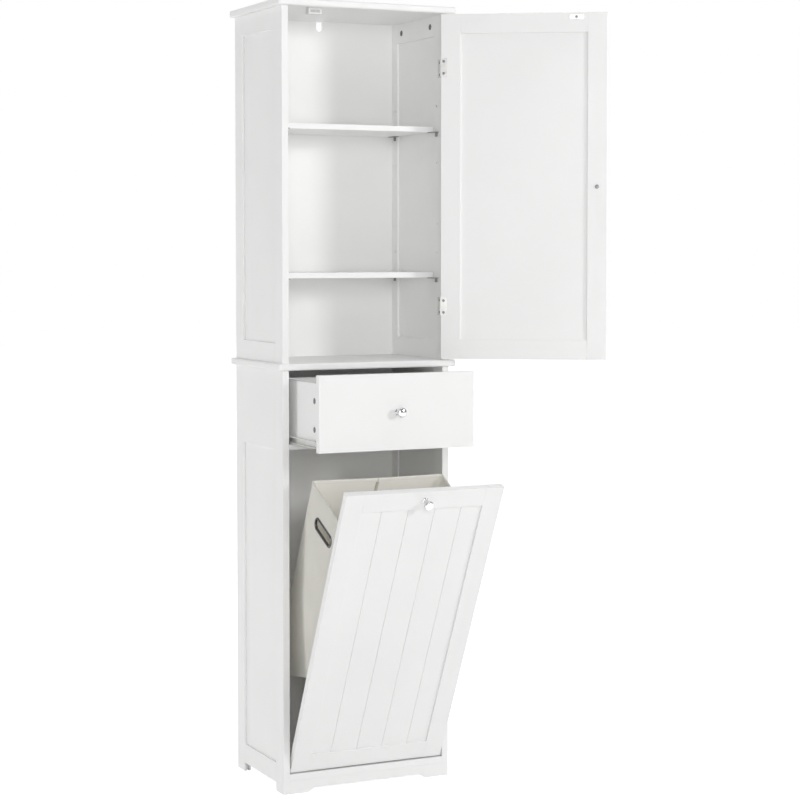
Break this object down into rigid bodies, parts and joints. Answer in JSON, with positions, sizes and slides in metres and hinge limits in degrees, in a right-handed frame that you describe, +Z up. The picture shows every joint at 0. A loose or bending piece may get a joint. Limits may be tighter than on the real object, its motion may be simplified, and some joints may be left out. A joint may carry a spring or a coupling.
{
  "type": "bathroom cabinet",
  "caption": "Tall narrow bathroom cabinet with a framed door over shelves, a drawer on runners and a tilt-out hamper door carrying a cloth laundry bag.",
  "frame": {"origin": "on the floor, midway between the sides, in the front plane of the cabinet's sides", "axes": "+Z up, +X to the right as seen from the front, +Y from the front towards the wall"},
  "size_m": [0.6944, 0.5815, 1.7],
  "materials": {
    "white_paint": "satin white paint on board and timber",
    "chrome": "polished",
    "nickel": "satin nickel plate",
    "zinc": "bright zinc plate",
    "dark_steel": "dark polished plate",
    "cam_zinc": "raw die-cast",
    "white_plastic": "moulded",
    "magnet": "plain",
    "runner_paint": "white powder coat",
    "cream_cloth": "plain woven cloth"
  },
  "bodies": {
    "carcass": {"bottom_panel": "white_paint", "catch_magnet": "magnet", "divider_panel": "white_paint", "frame_hinge_screws": "nickel", "left_cabinet_runner": "runner_paint", "lower_back_panel": "white_paint", "lower_hinge_frame_leaf": "nickel", "lower_hinge_pin": "nickel", "lower_left_frame": "white_paint", "lower_left_panel": "white_paint", "lower_right_frame": "white_paint", "lower_right_panel": "white_paint", "lower_shelf": "white_paint", "magnetic_catch": "white_plastic", "mid_board": "white_paint", "plinth": "white_paint", "right_cabinet_runner": "runner_paint", "shelf_supports": "dark_steel", "top_board": "white_paint", "upper_back_panel": "white_paint", "upper_cam_locks": "cam_zinc", "upper_hinge_frame_leaf": "nickel", "upper_hinge_pin": "nickel", "upper_left_frame": "white_paint", "upper_left_panel": "white_paint", "upper_right_frame": "white_paint", "upper_right_panel": "white_paint", "upper_shelf": "white_paint"},
    "door": {"door_free_stile": "white_paint", "door_hinge_stile": "white_paint", "door_bottom_rail": "white_paint", "door_top_rail": "white_paint", "door_panel": "white_paint", "door_knob": "chrome", "door_knob_screw": "zinc", "upper_hinge_door_leaf": "nickel", "lower_hinge_door_leaf": "nickel", "door_hinge_screws": "nickel", "strike_plate": "nickel", "strike_screw": "nickel"},
    "drawer": {"drawer_front": "white_paint", "drawer_left_side": "white_paint", "drawer_right_side": "white_paint", "drawer_back": "white_paint", "drawer_bottom_panel": "white_paint", "drawer_cam_locks": "cam_zinc", "drawer_knob": "chrome", "drawer_knob_screw": "zinc", "left_drawer_runner": "runner_paint", "right_drawer_runner": "runner_paint"},
    "hamper": {"hamper_left_stile": "white_paint", "hamper_right_stile": "white_paint", "hamper_bottom_rail": "white_paint", "hamper_top_rail": "white_paint", "hamper_panel": "white_paint", "hamper_knob": "chrome", "hamper_knob_screw": "zinc", "tilt_pins": "zinc", "laundry_bag": "cream_cloth", "bag_grommets": "dark_steel"}
  },
  "joints": [
    {"name": "door_hinge", "type": "hinge", "parent": "carcass", "child": "door", "pos_m": [0.18, -0.003, 1.3065], "axis": [0, 0, 1], "range_deg": [-147, 23]},
    {"name": "drawer_slide", "type": "slide", "parent": "carcass", "child": "drawer", "axis": [0, -1, 0], "range_m": [-0.154, 0.026]},
    {"name": "hamper_tilt", "type": "hinge", "parent": "carcass", "child": "hamper", "pos_m": [0, 0.0075, 0.058], "axis": [1, 0, 0], "range_deg": [-25.2, 0]}
  ]
}
